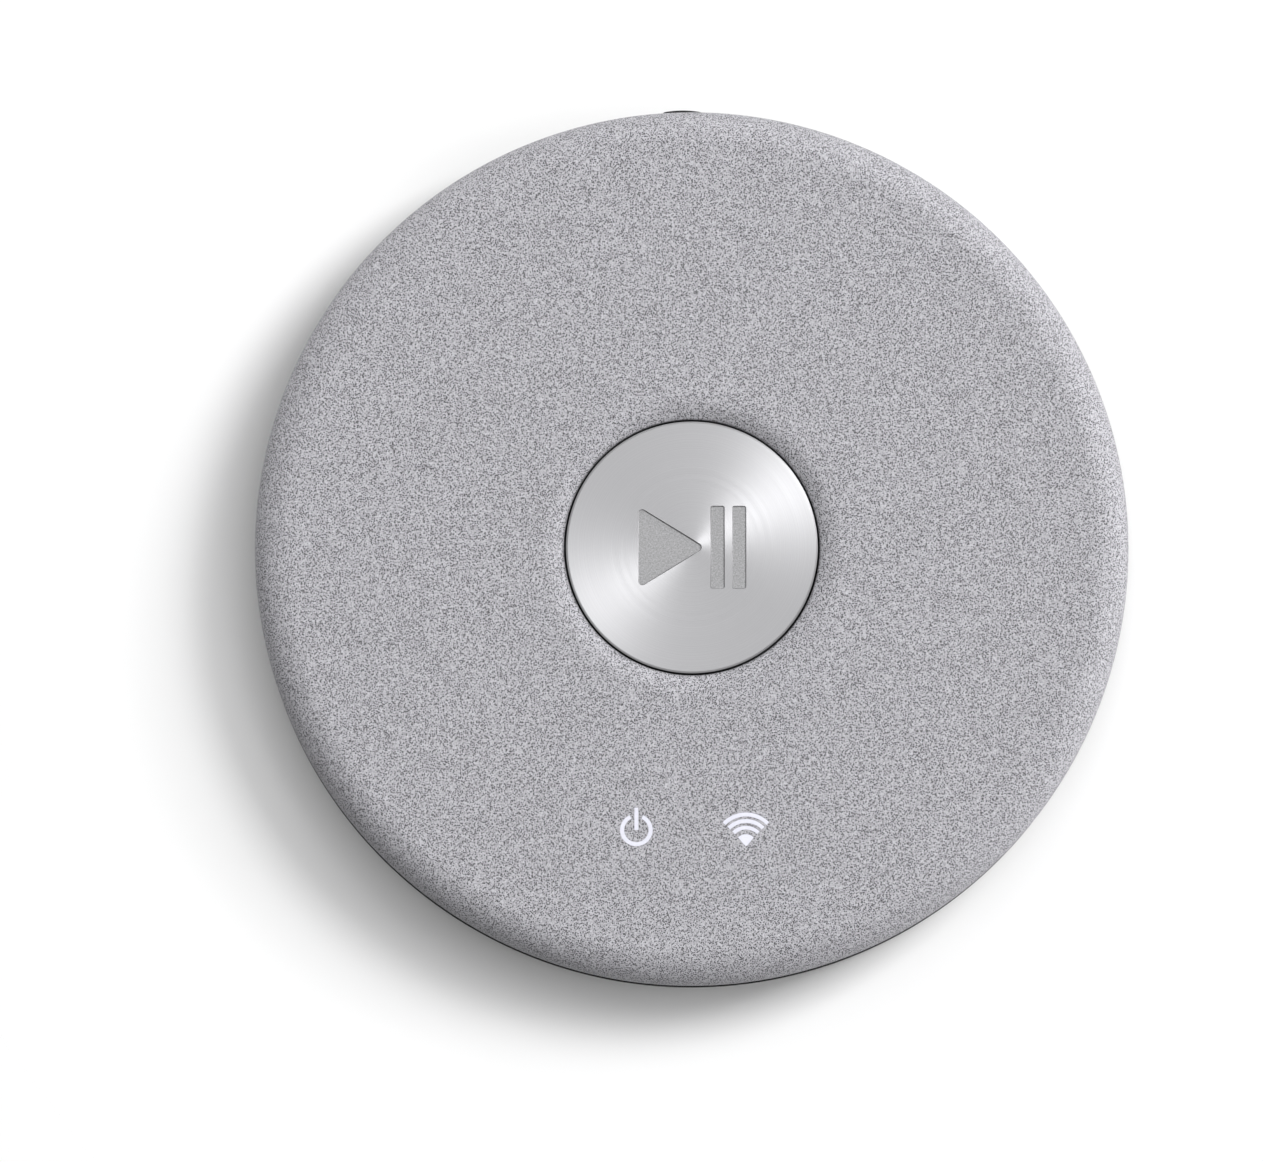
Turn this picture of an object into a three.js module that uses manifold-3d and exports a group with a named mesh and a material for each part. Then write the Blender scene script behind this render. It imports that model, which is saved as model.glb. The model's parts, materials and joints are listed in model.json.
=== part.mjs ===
// A disc-shaped streaming media player: a grain-textured moulded shell with a machined aluminium play button in its
// middle, two lit symbols, a black base with a rubber foot ring, a recessed rear connector panel with a domed power
// button, and the electronics inside. Millimetres, +Z up, origin on the surface it stands on, under the centre.
// +Y is the rear (connectors), -Y the front (lit symbols).
import * as THREE from "three";
import { mergeVertices } from "three/addons/utils/BufferGeometryUtils.js";
import Module from "manifold-3d";

const wasm = await Module();
wasm.setup();

// ---- driving dimensions ----
const R = 60; // outside radius, at the base
const R_FOOT = 59.8; // lower edge of the shell
const R_TOP = 59.72; // where the shell's upright wall meets its rounded edge
const H = 24; // overall height
const WALL = 2.2; // shell wall
const EDGE = 4.8; // rounding of the shell's top edge
const SEAM_Z = 5; // lower edge of the shell
const HOLE_R = 17.42; // hole for the play button
const DIP_R = 4.25; // radius of the rolled edge around that hole
const DIP_ANGLE = 45; // degrees that the roll turns before the hole's wall
const DISC_R = 17.14;
const DISC_TOP = 23.2;
const DISC_T = 1.6;
const BASE_Z = 0.8; // underside of the base
const BASE_T = 2.2;
const FOOT_IN = 46,
  FOOT_OUT = 54;
const BOARD_Z = 4.4,
  BOARD_T = 1.6,
  BOARD_R = 55.5,
  BOARD_REAR = 45.6;
const UI_Z = 11,
  UI_T = 1.2;
const PANEL_Y = 47.5,
  PANEL_T = 1.5; // flat floor of the connector bays
const BAY_Z0 = 6.2,
  BAY_Z1 = 17.4;
const PILLAR_X = -1.2; // centre of the pillar that carries the power button
const PILLAR_HALF = 4.4;
const POWER_R = 2.8; // round power button
const POWER_Z = 11.9;
const POWER_APEX = 60.45; // furthest point of the domed power button
const RJ_X = 12.6,
  HDMI_X = -16.4,
  DC_X = -31.5,
  OPT_X = 27.5;
const SEG = 60;
const CASE_BOSSES = [
  [44, 24],
  [-44, 24],
  [30, -40],
  [-30, -40],
];
const BOARD_SCREWS = [
  [46, 4],
  [-46, 4],
  [17, -45],
  [-17, -45],
];
const FRAME_BOSSES = [90, 210, 330].map((d) => [
  23 * Math.cos((d * Math.PI) / 180),
  23 * Math.sin((d * Math.PI) / 180),
]);
const UI_SCREWS = [
  [10, 8],
  [-10, 8],
];
const POWER_ICON = { x: -7.55, y: -38.46, ro: 2.23, ri: 1.64, gap: 24 };
const WIFI_ICON = { x: 7.35, y: -40.5 };
const WIFI_ARCS = [
  [4.44, 3.85],
  [3.55, 2.97],
  [2.63, 2.07],
];

// ---- solids ----
function solid(geometry) {
  const g = geometry.index ? geometry.toNonIndexed() : geometry.clone();
  const bare = new THREE.BufferGeometry().setAttribute(
    "position",
    g.getAttribute("position"),
  );
  const m = mergeVertices(bare, 1e-4);
  const tri = [];
  const a = m.index.array;
  for (let i = 0; i < a.length; i += 3)
    if (a[i] !== a[i + 1] && a[i + 1] !== a[i + 2] && a[i] !== a[i + 2])
      tri.push(a[i], a[i + 1], a[i + 2]);
  const build = (t) =>
    new wasm.Manifold(
      new wasm.Mesh({
        numProp: 3,
        vertProperties: new Float32Array(m.attributes.position.array),
        triVerts: new Uint32Array(t),
      }),
    );
  const s = build(tri);
  if (s.volume() > 0) return s;
  for (let i = 0; i < tri.length; i += 3)
    [tri[i + 1], tri[i + 2]] = [tri[i + 2], tri[i + 1]];
  return build(tri);
}
const cut = (a, ...b) => b.reduce((s, t) => s.subtract(t), a);
const join = (a, ...b) => b.reduce((s, t) => s.add(t), a);

function lathe(profile, segments = SEG, x = 0, y = 0) {
  const pts = profile.map(([r, z]) => new THREE.Vector2(r, z));
  if (profile[0][0] > 0 || profile[profile.length - 1][0] > 0)
    pts.push(pts[0].clone());
  return solid(
    new THREE.LatheGeometry(pts, segments)
      .rotateX(Math.PI / 2)
      .translate(x, y, 0),
  );
}
const ring = (ri, ro, z0, z1, segments = SEG) =>
  lathe(
    [
      [ri, z0],
      [ro, z0],
      [ro, z1],
      [ri, z1],
    ],
    segments,
  );
// turned about an axis along +Y through (x, z); the profile is given as (radius, y)
const latheY = (profile, x, z, segments = 20) =>
  solid(
    new THREE.LatheGeometry(
      profile.map(([r, y]) => new THREE.Vector2(r, y)),
      segments,
    ).translate(x, 0, z),
  );
const cylZ = (r, z0, z1, x = 0, y = 0, segments = 16) =>
  solid(
    new THREE.CylinderGeometry(r, r, z1 - z0, segments)
      .rotateX(Math.PI / 2)
      .translate(x, y, (z0 + z1) / 2),
  );
const cylY = (r, y0, y1, x, z, segments = 18) =>
  solid(
    new THREE.CylinderGeometry(r, r, y1 - y0, segments).translate(
      x,
      (y0 + y1) / 2,
      z,
    ),
  );
const box = (x0, x1, y0, y1, z0, z1) =>
  solid(
    new THREE.BoxGeometry(x1 - x0, y1 - y0, z1 - z0).translate(
      (x0 + x1) / 2,
      (y0 + y1) / 2,
      (z0 + z1) / 2,
    ),
  );
const shapeOf = (pts) =>
  new THREE.Shape(pts.map(([x, y]) => new THREE.Vector2(x, y)));
const prism = (pts, z0, z1) =>
  solid(
    new THREE.ExtrudeGeometry(shapeOf(pts), {
      depth: z1 - z0,
      bevelEnabled: false,
    }).translate(0, 0, z0),
  );
// outline given in (y, z), swept along x
const prismX = (pts, x0, x1) => {
  const g = new THREE.ExtrudeGeometry(shapeOf(pts), {
    depth: x1 - x0,
    bevelEnabled: false,
  });
  g.applyMatrix4(
    new THREE.Matrix4().makeBasis(
      new THREE.Vector3(0, 1, 0),
      new THREE.Vector3(0, 0, 1),
      new THREE.Vector3(1, 0, 0),
    ),
  );
  return solid(g.translate(x0, 0, 0));
};
// outline given in (x, z), swept along y
const prismY = (pts, y0, y1) => {
  const g = new THREE.ExtrudeGeometry(shapeOf(pts), {
    depth: y1 - y0,
    bevelEnabled: false,
  });
  g.applyMatrix4(
    new THREE.Matrix4().makeBasis(
      new THREE.Vector3(1, 0, 0),
      new THREE.Vector3(0, 0, 1),
      new THREE.Vector3(0, -1, 0),
    ),
  );
  return solid(g.translate(0, y1, 0));
};
const arc = (cx, cy, r, a0, a1, n) =>
  Array.from({ length: n + 1 }, (_, i) => {
    const a = ((a0 + ((a1 - a0) * i) / n) * Math.PI) / 180;
    return [cx + r * Math.cos(a), cy + r * Math.sin(a)];
  });
const arcBand = (cx, cy, ri, ro, a0, a1, n) => [
  ...arc(cx, cy, ro, a0, a1, n),
  ...arc(cx, cy, ri, a1, a0, n),
];
const roundRect = (x0, x1, y0, y1, r, n = 3) => [
  ...arc(x1 - r, y0 + r, r, -90, 0, n),
  ...arc(x1 - r, y1 - r, r, 0, 90, n),
  ...arc(x0 + r, y1 - r, r, 90, 180, n),
  ...arc(x0 + r, y0 + r, r, 180, 270, n),
];
const sweep = (points, radius, sides, steps) => {
  const section = shapeOf(arc(0, 0, radius, 0, 360, sides).slice(0, sides));
  return solid(
    new THREE.ExtrudeGeometry(section, {
      steps,
      bevelEnabled: false,
      extrudePath:
        points instanceof THREE.Curve
          ? points
          : new THREE.CatmullRomCurve3(
              points.map((p) => new THREE.Vector3(...p)),
              false,
              "centripetal",
            ),
    }),
  );
};

const root = new THREE.Group();
root.name = "streaming_media_player";
const LOOKS = {
  shell: [0x9d9da1, 0.75, 0],
  metal: [0xc9c9cc, 0.3, 1],
  black: [0x17171a, 0.55, 0],
  rubber: [0x1d1d1f, 0.9, 0],
  light: [0xf4f4ff, 0.3, 0],
  board: [0x16452c, 0.5, 0],
  chip: [0x1f1f22, 0.5, 0],
  steel: [0xb4b5b8, 0.35, 1],
  foam: [0x2a2a2c, 0.95, 0],
  pad: [0x8c9bb0, 0.8, 0],
};
function add(name, s, look, parent = root) {
  const m = s.getMesh();
  const g = new THREE.BufferGeometry();
  const v = new Float32Array(m.numVert * 3);
  for (let i = 0; i < m.numVert; i++)
    v.set(
      m.vertProperties.subarray(i * m.numProp, i * m.numProp + 3),
      i * 3,
    );
  g.setAttribute("position", new THREE.BufferAttribute(v, 3));
  g.setIndex(new THREE.BufferAttribute(new Uint32Array(m.triVerts), 1));
  g.computeVertexNormals();
  const [color, roughness, metalness] = LOOKS[look];
  const mesh = new THREE.Mesh(
    g,
    new THREE.MeshStandardMaterial({ color, roughness, metalness }),
  );
  mesh.name = name;
  parent.add(mesh);
  return mesh;
}

// ---- symbols: outlines with an inset d, so that the light guide's pads stand clear of the shell's windows ----
function powerSymbol(z0, z1, d = 0) {
  const { x, y, ro, ri, gap } = POWER_ICON;
  const turn = ((d / ro) * 180) / Math.PI;
  return [
    prism(
      arcBand(x, y, ri + d, ro - d, 90 + gap + turn, 450 - gap - turn, 14),
      z0,
      z1,
    ),
    box(x - 0.285 + d, x + 0.285 - d, y - 0.05 + d, y + 3.06 - d, z0, z1),
  ];
}
function wifiSymbol(z0, z1, d = 0) {
  const { x, y } = WIFI_ICON;
  const bands = WIFI_ARCS.map(([ro, ri]) => {
    const turn = ((d / ro) * 180) / Math.PI;
    return prism(
      arcBand(x, y, ri + d, ro - d, 44 + turn, 136 - turn, 5),
      z0,
      z1,
    );
  });
  bands.push(
    prism(
      [
        ...arc(x, y, 1.48 - d, 46 + d * 20, 134 - d * 20, 6),
        ...arc(x, y + 0.24, 0.18 - d * 0.6, 222, 318, 4),
      ],
      z0,
      z1,
    ),
  );
  return bands;
}

// ---- top cover ----
const edgeR = R_TOP - EDGE,
  edgeZ = H - EDGE;
const dipC = [HOLE_R + DIP_R * Math.sin((DIP_ANGLE * Math.PI) / 180), H - DIP_R];
const cover = [];
for (let i = 0; i <= 3; i++) {
  const a = ((DIP_ANGLE * (3 - i)) / 3) * (Math.PI / 180);
  cover.push([dipC[0] - DIP_R * Math.sin(a), dipC[1] + DIP_R * Math.cos(a)]);
}
for (let i = 0; i <= 5; i++) {
  const a = (i / 5) * (Math.PI / 2);
  cover.push([edgeR + EDGE * Math.sin(a), edgeZ + EDGE * Math.cos(a)]);
}
cover.push([R_FOOT, SEAM_Z + 0.2], [R_FOOT - 0.2, SEAM_Z], [R - WALL, SEAM_Z]);
for (let i = 0; i <= 2; i++) {
  const a = (1 - i / 2) * (Math.PI / 2);
  cover.push([
    edgeR + (EDGE - WALL) * Math.sin(a),
    edgeZ + (EDGE - WALL) * Math.cos(a),
  ]);
}
const underside = H - WALL;
const HUB_Z = 20.6;
cover.push([20.9, underside], [20.9, HUB_Z], [HOLE_R, HUB_Z]);
let shell = lathe(cover.reverse());
for (const [x, y] of CASE_BOSSES)
  shell = cut(
    join(shell, cylZ(3.4, 5.75, underside + 0.3, x, y)),
    cylZ(1.35, 5, 14, x, y, 10),
  );
for (const [x, y] of FRAME_BOSSES)
  shell = cut(
    join(shell, cylZ(2.2, 17.2, underside + 0.3, x, y, 16)),
    cylZ(1.05, 16, 21.5, x, y, 10),
  );
shell = cut(shell, box(-37, 37, 40, 62, 4, 18.8));
shell = cut(
  shell,
  ...powerSymbol(underside - 1, H + 1),
  ...wifiSymbol(underside - 1, H + 1),
);
add("top_cover", shell, "shell");

// ---- base ----
let base = lathe(
  [
    [0, BASE_Z],
    [FOOT_IN - 0.3, BASE_Z],
    [FOOT_IN - 0.3, 1.9],
    [FOOT_OUT + 0.3, 1.9],
    [FOOT_OUT + 0.3, BASE_Z],
    [56.6, BASE_Z],
    [59.2, 0.95],
    [R, 1.8],
    [R, 4.55],
    [59.85, 4.7],
    [57.4, 4.7],
    [57.4, 6.6],
    [56.2, 6.6],
    [56.2, BASE_Z + BASE_T],
    [0, BASE_Z + BASE_T],
  ],
  48,
);
base = cut(base, box(-38.5, 38.5, 40, 61, 4.75, 8));
for (const [x, y] of CASE_BOSSES)
  base = cut(
    join(base, cylZ(4.2, 2.9, 4.15, x, y), cylZ(3.4, 4.05, 5.6, x, y)),
    cylZ(2.9, 1.5, 3.6, x, y),
    cylZ(1.6, 1.5, 6, x, y, 14),
  );
for (const [x, y] of BOARD_SCREWS)
  base = cut(
    join(base, cylZ(2.7, 2.9, BOARD_Z - 0.1, x, y, 16)),
    cylZ(1.35, 1.7, 5, x, y, 12),
  );
const VENTS = 16;
for (let i = 0; i < VENTS; i++) {
  const a = (i + 0.5) * (360 / VENTS);
  const slot = solid(
    new THREE.ExtrudeGeometry(
      shapeOf([...arc(31, 0, 1.1, -90, 90, 2), ...arc(19, 0, 1.1, 90, 270, 2)]),
      { depth: 4, bevelEnabled: false },
    )
      .rotateZ((a * Math.PI) / 180)
      .translate(0, 0, 0),
  );
  base = cut(base, slot);
}
add("base_cover", base, "black");
add(
  "foot_ring",
  lathe(
    [
      [FOOT_IN, 0.3],
      [FOOT_IN + 0.3, 0],
      [FOOT_OUT - 0.3, 0],
      [FOOT_OUT, 0.3],
      [FOOT_OUT, 1.85],
      [FOOT_IN, 1.85],
    ],
    48,
  ),
  "rubber",
);

// ---- screws: a head, a shank and a cross recess where it shows ----
function screw(name, x, y, zHead, zTip, headR, headT, shankR, up = true) {
  // up: the head is at the bottom and the shank points up
  const z1 = up ? zHead + headT : zHead - headT;
  const profile = up
    ? [
        [0, zHead],
        [headR, zHead],
        [headR, z1],
        [shankR, z1],
        [shankR, zTip - 0.5],
        [shankR * 0.5, zTip],
        [0, zTip],
      ]
    : [
        [0, zTip],
        [shankR * 0.5, zTip],
        [shankR, zTip + 0.5],
        [shankR, z1],
        [headR, z1],
        [headR, zHead],
        [0, zHead],
      ];
  let s = lathe(profile, 10, x, y);
  const w = headR * 0.16,
    l = headR * 0.6,
    d = headT * 0.55;
  const [a, b] = up ? [zHead - 1, zHead + d] : [zHead - d, zHead + 1];
  s = cut(
    s,
    box(x - w, x + w, y - l, y + l, a, b),
    box(x - l, x + l, y - w, y + w, a, b),
  );
  add(name, s, "steel");
}
CASE_BOSSES.forEach(([x, y], i) =>
  screw("case_screw_" + (i + 1), x, y, 2.1, 13, 2.4, 1.4, 1.1),
);
BOARD_SCREWS.forEach(([x, y], i) =>
  screw(
    "board_screw_" + (i + 1),
    x,
    y,
    BOARD_Z + BOARD_T + 1.55,
    2.0,
    2.2,
    1.5,
    1.1,
    false,
  ),
);

// ---- play button: disc, adhesive, carrier, spring, guide frame, switch ----
const play = new THREE.Group();
play.name = "play_button";
root.add(play);
const discZ = DISC_TOP - DISC_T;
const TRIANGLE = (() => {
  const p = [
    [-7.35, -5.7],
    [1.9, 0],
    [-7.35, 5.7],
  ];
  const out = [];
  const r = 0.6;
  p.forEach((b, i) => {
    const a = p[(i + 2) % 3],
      c = p[(i + 1) % 3];
    const unit = (u, v) => {
      const d = [v[0] - u[0], v[1] - u[1]],
        l = Math.hypot(...d);
      return [d[0] / l, d[1] / l];
    };
    const u = unit(b, a),
      w = unit(b, c);
    const half = Math.acos(u[0] * w[0] + u[1] * w[1]) / 2;
    const t = r / Math.tan(half),
      m = unit([0, 0], [u[0] + w[0], u[1] + w[1]]);
    const cx = b[0] + (m[0] * r) / Math.sin(half),
      cy = b[1] + (m[1] * r) / Math.sin(half);
    const s0 = Math.atan2(b[1] + u[1] * t - cy, b[0] + u[0] * t - cx);
    let s1 = Math.atan2(b[1] + w[1] * t - cy, b[0] + w[0] * t - cx);
    while (s1 < s0) s1 += 2 * Math.PI;
    for (let k = 0; k <= 4; k++) {
      const s = s0 + ((s1 - s0) * k) / 4;
      out.push([cx + r * Math.cos(s), cy + r * Math.sin(s)]);
    }
  });
  return out;
})();
const GLYPH_DEPTH = 0.3;
add(
  "play_disc",
  cut(
    lathe(
      [
        [0, discZ],
        [DISC_R, discZ],
        [DISC_R, DISC_TOP - 0.25],
        [DISC_R - 0.25, DISC_TOP],
        [0, DISC_TOP],
      ],
      48,
    ),
    prism(TRIANGLE, DISC_TOP - GLYPH_DEPTH, DISC_TOP + 1),
    prism(
      roundRect(2.5, 4.5, -5.7, 5.7, 0.35, 2),
      DISC_TOP - GLYPH_DEPTH,
      DISC_TOP + 1,
    ),
    prism(
      roundRect(5.45, 7.45, -5.7, 5.7, 0.35, 2),
      DISC_TOP - GLYPH_DEPTH,
      DISC_TOP + 1,
    ),
  ),
  "metal",
  play,
);
add("disc_adhesive", ring(9, 16, 21.43, 21.57, 32), "foam", play);
add(
  "button_carrier",
  lathe(
    [
      [0, 16.95],
      [2.6, 16.95],
      [3.0, 17.35],
      [3.0, 19.6],
      [19.6, 19.6],
      [19.6, 20.5],
      [17.0, 20.5],
      [17.0, 21.4],
      [0, 21.4],
    ],
    32,
  ),
  "black",
  play,
);
add(
  "play_switch_plunger",
  cylZ(1.75, 14.6, 16.9, 0, 0, 16),
  "black",
  play,
);
class Helix extends THREE.Curve {
  constructor(r, z0, z1, turns) {
    super();
    Object.assign(this, { r, z0, z1, turns });
  }
  getPoint(t, target = new THREE.Vector3()) {
    const a = t * this.turns * 2 * Math.PI;
    return target.set(
      this.r * Math.cos(a),
      this.r * Math.sin(a),
      this.z0 + (this.z1 - this.z0) * t,
    );
  }
}
add(
  "button_spring",
  sweep(new Helix(6.3, 17.45, 19.25, 2.5), 0.22, 6, 30),
  "steel",
);
let frame = join(
  cylZ(11, 15.9, 17.1, 0, 0, 24),
  cylZ(4.8, 15.9, 18.7, 0, 0, 18),
);
for (const [x, y] of FRAME_BOSSES) {
  const a = Math.atan2(y, x);
  const arm = solid(
    new THREE.ExtrudeGeometry(
      shapeOf([
        [8, -3.6],
        [23, -3.2],
        ...arc(23, 0, 3.2, -60, 60, 4),
        [23, 3.2],
        [8, 3.6],
      ]),
      { depth: 1.2, bevelEnabled: false },
    )
      .rotateZ(a)
      .translate(0, 0, 15.9),
  );
  frame = cut(join(frame, arm), cylZ(1.1, 15, 18, x, y, 12));
}
for (const [x, y] of UI_SCREWS)
  frame = cut(
    join(frame, cylZ(2.1, UI_Z + UI_T + 0.05, 17.1, x, y, 14)),
    cylZ(1.05, 10, 16.5, x, y, 10),
  );
frame = join(
  frame,
  box(8.0, 10.6, 5.5, 9.5, 15.9, 17.1),
  box(-10.6, -8.0, 5.5, 9.5, 15.9, 17.1),
);
for (const [x, y] of UI_SCREWS) frame = cut(frame, cylZ(1.05, 10, 16.5, x, y, 10));
frame = cut(frame, cylZ(3.3, 15, 20, 0, 0, 18));
add("button_frame", frame, "black");
FRAME_BOSSES.forEach(([x, y], i) =>
  screw("frame_screw_" + (i + 1), x, y, 14.3, 20.8, 2.0, 1.5, 0.8),
);
const uiTop = UI_Z + UI_T;
add(
  "ui_board",
  cut(
    prism(roundRect(-13, 13, -44.4, 12, 1.5, 3), UI_Z, uiTop),
    ...UI_SCREWS.map(([x, y]) => cylZ(1.1, 10, 13, x, y, 12)),
  ),
  "board",
);
UI_SCREWS.forEach(([x, y], i) =>
  screw("ui_board_screw_" + (i + 1), x, y, UI_Z - 1.35, 15.6, 1.8, 1.3, 0.8),
);
add(
  "play_switch_body",
  cut(
    prism(roundRect(-3.1, 3.1, -3.1, 3.1, 0.5, 2), uiTop + 0.05, 15.75),
    cylZ(2.05, 13.8, 17, 0, 0, 20),
  ),
  "black",
);

// ---- lit symbols ----
add(
  "power_light_guide",
  join(
    box(-10.9, -4.1, -42.3, -34.8, 20.9, underside - 0.1),
    box(-9.5, -5.5, -40.2, -36.2, 13.4, 21),
    ...powerSymbol(21.6, H - 0.05, 0.08),
  ),
  "light",
);
add(
  "wifi_light_guide",
  join(
    box(2.6, 12.4, -42.3, -35.3, 20.9, underside - 0.1),
    box(5.5, 9.5, -40.6, -36.6, 13.4, 21),
    ...wifiSymbol(21.6, H - 0.05, 0.08),
  ),
  "light",
);
add(
  "led_shroud",
  cut(
    box(-12.3, 12.3, -43.6, -34.2, uiTop + 0.1, 20.8),
    box(-10, -5, -40.7, -35.7, 12, 22),
    box(5, 10, -41.1, -36.1, 12, 22),
  ),
  "foam",
);
add(
  "power_led",
  box(-8.3, -6.7, -38.6, -37.8, uiTop + 0.05, 13.2),
  "light",
);
add("wifi_led", box(6.7, 8.3, -39.0, -38.2, uiTop + 0.05, 13.2), "light");

// ---- ribbon between the boards ----
add(
  "ui_ribbon_socket",
  cut(
    box(-5, 5, -20.4, -14.9, 9.3, UI_Z - 0.05),
    box(-4.3, 4.3, -17, -14, 9.85, 10.55),
  ),
  "light",
);
const boardTop = BOARD_Z + BOARD_T;
add(
  "board_ribbon_socket",
  cut(
    box(-5, 5, -2.1, 3.2, boardTop + 0.05, 7.7),
    box(-4.3, 4.3, -3, 0, 6.55, 7.25),
  ),
  "light",
);
{
  // the ribbon's centreline in (y, z), thickened to 0.3 mm
  const line = [
    [-0.3, 6.9],
    [-4.2, 6.9],
    [-5.8, 7.1],
    [-7.4, 7.8],
    [-9.4, 9.3],
    [-11.0, 10.0],
    [-12.6, 10.2],
    [-16.7, 10.2],
  ];
  const offset = (s) =>
    line.map((p, i) => {
      const a = line[Math.max(0, i - 1)],
        b = line[Math.min(line.length - 1, i + 1)];
      const d = [b[0] - a[0], b[1] - a[1]],
        l = Math.hypot(...d);
      return [p[0] - (d[1] / l) * s, p[1] + (d[0] / l) * s];
    });
  add(
    "ui_ribbon",
    prismX([...offset(0.15), ...offset(-0.15).reverse()], -4, 4),
    "light",
  );
}

// ---- main board and what stands on it ----
let board = cut(
  cylZ(BOARD_R, BOARD_Z, boardTop, 0, 0, 48),
  box(-60, 60, BOARD_REAR, 70, 0, 10),
);
for (const [x, y] of CASE_BOSSES)
  board = cut(
    board,
    cylZ(3.9, 4, 7, x, y),
    (() => {
      const a = Math.atan2(y, x);
      return solid(
        new THREE.BoxGeometry(8, 7.8, 4)
          .translate(54, 0, 5)
          .rotateZ(a),
      );
    })(),
  );
for (const [x, y] of BOARD_SCREWS) board = cut(board, cylZ(1.4, 4, 7, x, y, 12));
add("main_board", board, "board");
const T = boardTop + 0.05;
add("processor", box(-34.5, -19.5, -12.5, 2.5, T, T + 1.2), "chip");
add("thermal_pad", box(-34, -20, -12, 2, T + 1.25, T + 1.7), "pad");
{
  const z0 = T + 1.75,
    fins = 8,
    x0 = -39,
    pitch = 3.2857,
    t = 1.0,
    top = 13.5;
  const pts = [[x0, z0]];
  pts.push([x0 + pitch * (fins - 1) + t, z0]);
  for (let i = fins - 1; i >= 0; i--) {
    const x = x0 + pitch * i;
    pts.push([x + t, top], [x, top]);
    if (i > 0) pts.push([x, z0 + 1.5], [x0 + pitch * (i - 1) + t, z0 + 1.5]);
  }
  add("heat_sink", prismY(pts, -17, 7), "metal");
}
add("memory_chip_1", box(-37.5, -28.5, -31, -19, T, T + 1.0), "chip");
add("memory_chip_2", box(-25.5, -16.5, -31, -19, T, T + 1.0), "chip");
add("flash_chip", box(21.3, 32.7, -1.5, 11.5, T, T + 1.1), "chip");
add("wifi_module", box(22, 42, -25.5, -10.5, T, T + 0.8), "board");
add(
  "wifi_shield",
  join(
    prism(roundRect(27, 41, -24.8, -11.2, 0.5, 2), T + 0.85, T + 2.6),
  ),
  "steel",
);
add("lan_transformer", box(RJ_X - 8, RJ_X + 8, 16.4, 25.6, T, T + 5.7), "chip");
add("power_inductor", prism(roundRect(-36.5, -29.5, 10.5, 17.5, 1.4, 2), T, T + 4), "chip");
const capacitor = (name, x, y, r, h) =>
  add(
    name,
    lathe(
      [
        [0, T],
        [r, T],
        [r, T + 1.2],
        [r - 0.3, T + 1.6],
        [r, T + 2.0],
        [r, T + h],
        [0, T + h],
      ],
      14,
      x,
      y,
    ),
    "steel",
  );
capacitor("capacitor_1", -30.5, 24.5, 4, 10);
capacitor("capacitor_2", -20.6, 22.5, 3.15, 8);

// ---- antennas on the inside of the side wall, and their leads ----
const antenna = (a0, a1) => prism(arcBand(0, 0, 56.7, 57.3, a0, a1, 8), 8.4, 17.4);
add("antenna_right", antenna(-44, -18), "board");
add("antenna_left", antenna(198, 224), "board");
add(
  "antenna_lead_right",
  sweep(
    [
      [24.4, -13.2, T + 1.75],
      [27, -10.4, T + 4.4],
      [34, -9.2, T + 5.4],
      [43, -13.4, T + 5.2],
      [50.3, -19.2, T + 5],
      [49.5, -25.7, T + 5.2],
    ],
    0.57,
    6,
    20,
  ),
  "black",
);
add(
  "antenna_lead_left",
  sweep(
    [
      [24.4, -21.2, T + 1.75],
      [21, -25.5, T + 2.6],
      [12, -31, T + 2.2],
      [0, -33.6, T + 2.2],
      [-14, -34.2, T + 2.2],
      [-30, -34.2, T + 2.3],
      [-38.5, -34.4, T + 3.4],
      [-44.4, -32, T + 4.6],
      [-47.6, -28.9, T + 5.2],
    ],
    0.57,
    6,
    32,
  ),
  "black",
);

// ---- rear panel with two connector bays and a pillar for the power button ----
const PX0 = PILLAR_X - PILLAR_HALF,
  PX1 = PILLAR_X + PILLAR_HALF;
let bezel = cylZ(R_TOP - 0.1, 5.2, 18.5, 0, 0, SEG).intersect(
  box(-36.7, 36.7, PANEL_Y - PANEL_T, 62, 5, 19),
);
bezel = cut(
  bezel,
  box(-40, PX0, PANEL_Y, 62, BAY_Z0, BAY_Z1),
  box(PX1, 40, PANEL_Y, 62, BAY_Z0, BAY_Z1),
);
bezel = join(
  bezel,
  box(-30, 30, PANEL_Y - PANEL_T, PANEL_Y, 18.4, 20.4),
);
const RJ_OPEN = [RJ_X - 6.2, RJ_X + 6.2, 45, 48, 7.4, 17.0];
bezel = cut(
  bezel,
  box(...RJ_OPEN),
  box(HDMI_X - 7.8, HDMI_X + 7.8, 45, PANEL_Y + 0.001, 5.85, 12.0),
  box(HDMI_X - 7.8, HDMI_X + 7.8, 45, 48, BAY_Z0, 12.0),
  cylY(4.25, 45, 48.5, DC_X, 11.4, 20),
  box(OPT_X - 5.1, OPT_X + 5.1, 45, PANEL_Y + 0.001, 5.75, 16.35),
  box(OPT_X - 5.1, OPT_X + 5.1, 45, 48, BAY_Z0, 16.35),
  cylY(POWER_R + 0.2, 52.5, 62, PILLAR_X, POWER_Z, 20),
  box(PILLAR_X - 1.7, PILLAR_X + 1.7, 45, 54, POWER_Z - 1.7, POWER_Z + 1.7),
);
add("rear_panel", bezel, "black");

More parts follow.
